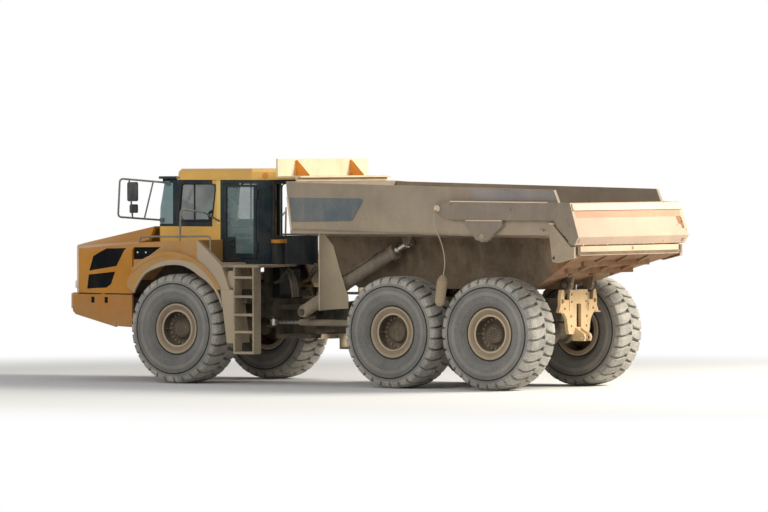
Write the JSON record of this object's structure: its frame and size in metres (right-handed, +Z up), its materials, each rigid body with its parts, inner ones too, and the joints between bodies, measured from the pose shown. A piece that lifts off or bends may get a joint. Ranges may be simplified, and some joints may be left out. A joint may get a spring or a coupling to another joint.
{
  "type": "dump truck",
  "caption": "Articulated six-wheel dump truck with a hinged front unit, a tipping trough bed, an overhead-hinged tailgate, lug tyres, an opening hood and a hollow cab.",
  "frame": {"origin": "on the ground under the middle of the overall length, width and height's base", "axes": "+X forward along the truck, +Y to the vehicle's left, +Z up"},
  "size_m": [11.23, 3.595, 3.81],
  "materials": {
    "yellow_paint": "satin",
    "cream_paint": "matt",
    "bed_steel": "matt, worn",
    "tailgate_steel": "matt, worn",
    "dark_steel": "satin",
    "rim_paint": "matt",
    "tyre_rubber": "dusty",
    "flap_rubber": "dusty",
    "tinted_glass": "clear",
    "rod_chrome": "polished",
    "barrel_steel": "satin",
    "orange_paint": "satin",
    "engine_iron": "oily",
    "seat_fabric": "woven",
    "dark_plastic": "grained",
    "lamp_lens": "clear",
    "wire_steel": "dull",
    "mesh_steel": "matt"
  },
  "bodies": {
    "rear_frame": {"rear_frame": "cream_paint", "frame_tail": "cream_paint", "bogie_beams": "cream_paint", "rear_axles": "cream_paint"},
    "front_unit": {"front_frame": "cream_paint", "front_axle": "cream_paint", "engine": "engine_iron", "roof_lamps": "lamp_lens", "bumper": "yellow_paint", "front_fenders": "yellow_paint", "fender_flaps": "flap_rubber", "side_steps": "dark_steel", "cab_shell": "yellow_paint", "cab_frame": "dark_steel", "cab_roof": "yellow_paint", "cab_glass": "tinted_glass", "cab_seat": "seat_fabric", "dashboard": "dark_plastic", "mirrors": "dark_steel", "handrails": "dark_steel", "hydraulic_tank": "dark_steel", "air_cleaner": "yellow_paint"},
    "hood": {"hood": "yellow_paint", "side_vents": "mesh_steel", "grille": "mesh_steel", "head_lamps": "lamp_lens"},
    "cab_door": {"cab_door": "yellow_paint", "door_glass": "tinted_glass"},
    "bed": {"bed": "bed_steel", "spill_guard": "orange_paint", "mud_flaps": "flap_rubber"},
    "tailgate": {"tailgate": "tailgate_steel", "tailgate_cable": "wire_steel", "cable_bundle": "wire_steel"},
    "hoist_barrels": {"hoist_barrels": "barrel_steel"},
    "hoist_sleeves": {"hoist_sleeves": "rod_chrome"},
    "hoist_rods": {"hoist_rods": "rod_chrome"},
    "steering_barrel_left": {"steering_barrel_left": "barrel_steel"},
    "steering_barrel_right": {"steering_barrel_right": "barrel_steel"},
    "steering_rod_left": {"steering_rod_left": "rod_chrome"},
    "steering_rod_right": {"steering_rod_right": "rod_chrome"},
    "front_left_wheel": {"front_left_tyre": "tyre_rubber", "front_left_rim": "rim_paint"},
    "front_right_wheel": {"front_right_tyre": "tyre_rubber", "front_right_rim": "rim_paint"},
    "middle_left_wheel": {"middle_left_tyre": "tyre_rubber", "middle_left_rim": "rim_paint"},
    "middle_right_wheel": {"middle_right_tyre": "tyre_rubber", "middle_right_rim": "rim_paint"},
    "rear_left_wheel": {"rear_left_tyre": "tyre_rubber", "rear_left_rim": "rim_paint"},
    "rear_right_wheel": {"rear_right_tyre": "tyre_rubber", "rear_right_rim": "rim_paint"}
  },
  "joints": [
    {"name": "front_left_spin", "type": "hinge", "parent": "front_unit", "child": "front_left_wheel", "pos_m": [2.585, 1.318, 0.93], "axis": [0, 1, 0], "continuous": true},
    {"name": "front_right_spin", "type": "hinge", "parent": "front_unit", "child": "front_right_wheel", "pos_m": [2.585, -1.318, 0.93], "axis": [0, 1, 0], "continuous": true},
    {"name": "middle_left_spin", "type": "hinge", "parent": "rear_frame", "child": "middle_left_wheel", "pos_m": [-1.866, 1.318, 0.93], "axis": [0, 1, 0], "continuous": true},
    {"name": "middle_right_spin", "type": "hinge", "parent": "rear_frame", "child": "middle_right_wheel", "pos_m": [-1.866, -1.318, 0.93], "axis": [0, 1, 0], "continuous": true},
    {"name": "rear_left_spin", "type": "hinge", "parent": "rear_frame", "child": "rear_left_wheel", "pos_m": [-3.806, 1.318, 0.93], "axis": [0, 1, 0], "continuous": true},
    {"name": "rear_right_spin", "type": "hinge", "parent": "rear_frame", "child": "rear_right_wheel", "pos_m": [-3.806, -1.318, 0.93], "axis": [0, 1, 0], "continuous": true},
    {"name": "articulation", "type": "hinge", "parent": "rear_frame", "child": "front_unit", "pos_m": [0.885, 0, 1.04], "axis": [0, 0, 1], "range_deg": [-45, 45]},
    {"name": "steering_barrel_left_swing", "type": "hinge", "parent": "rear_frame", "child": "steering_barrel_left", "pos_m": [-0.415, 0.64, 1.04], "axis": [0, 0, 1], "range_deg": [-9, 9]},
    {"name": "steering_barrel_right_swing", "type": "hinge", "parent": "rear_frame", "child": "steering_barrel_right", "pos_m": [-0.415, -0.64, 1.04], "axis": [0, 0, 1], "range_deg": [-9, 9]},
    {"name": "steering_rod_left_slide", "type": "slide", "parent": "steering_barrel_left", "child": "steering_rod_left", "axis": [1, 0, 0], "range_m": [-0.45, 0.45]},
    {"name": "steering_rod_right_slide", "type": "slide", "parent": "steering_barrel_right", "child": "steering_rod_right", "axis": [1, 0, 0], "range_m": [-0.45, 0.45]},
    {"name": "bed_tip", "type": "hinge", "parent": "rear_frame", "child": "bed", "pos_m": [-4.515, 0, 1.72], "axis": [0, -1, 0], "range_deg": [0, 70]},
    {"name": "hoist_swing", "type": "hinge", "parent": "rear_frame", "child": "hoist_barrels", "pos_m": [0.415, 0, 1.224], "axis": [0, -1, 0], "range_deg": [-8, 1]},
    {"name": "hoist_first_stage", "type": "slide", "parent": "hoist_barrels", "child": "hoist_sleeves", "axis": [-0.8784, 0, 0.4779], "range_m": [0, 1.62]},
    {"name": "hoist_second_stage", "type": "slide", "parent": "hoist_sleeves", "child": "hoist_rods", "axis": [-0.8784, 0, 0.4779], "range_m": [0, 1.62]},
    {"name": "tailgate_hinge", "type": "hinge", "parent": "bed", "child": "tailgate", "pos_m": [-3.725, 0, 2.527], "axis": [0, 1, 0], "range_deg": [0, 55]},
    {"name": "door_hinge", "type": "hinge", "parent": "front_unit", "child": "cab_door", "pos_m": [1.41, 0.88, 2.7], "axis": [0, 0, 1], "range_deg": [0, 70]},
    {"name": "hood_hinge", "type": "hinge", "parent": "front_unit", "child": "hood", "pos_m": [5.515, 0, 1.55], "axis": [0, 1, 0], "range_deg": [0, 60]}
  ],
  "couplings": [
    {"joint": "steering_barrel_left_swing", "follows": "articulation", "ratio": 0.185},
    {"joint": "steering_barrel_right_swing", "follows": "articulation", "ratio": 0.185},
    {"joint": "steering_rod_left_slide", "follows": "articulation", "m_per_rad": -0.56},
    {"joint": "steering_rod_right_slide", "follows": "articulation", "m_per_rad": 0.56},
    {"joint": "hoist_swing", "follows": "bed_tip", "ratio": -0.1007},
    {"joint": "hoist_first_stage", "follows": "bed_tip", "m_per_rad": 1.3178},
    {"joint": "hoist_second_stage", "follows": "bed_tip", "m_per_rad": 1.3178}
  ]
}
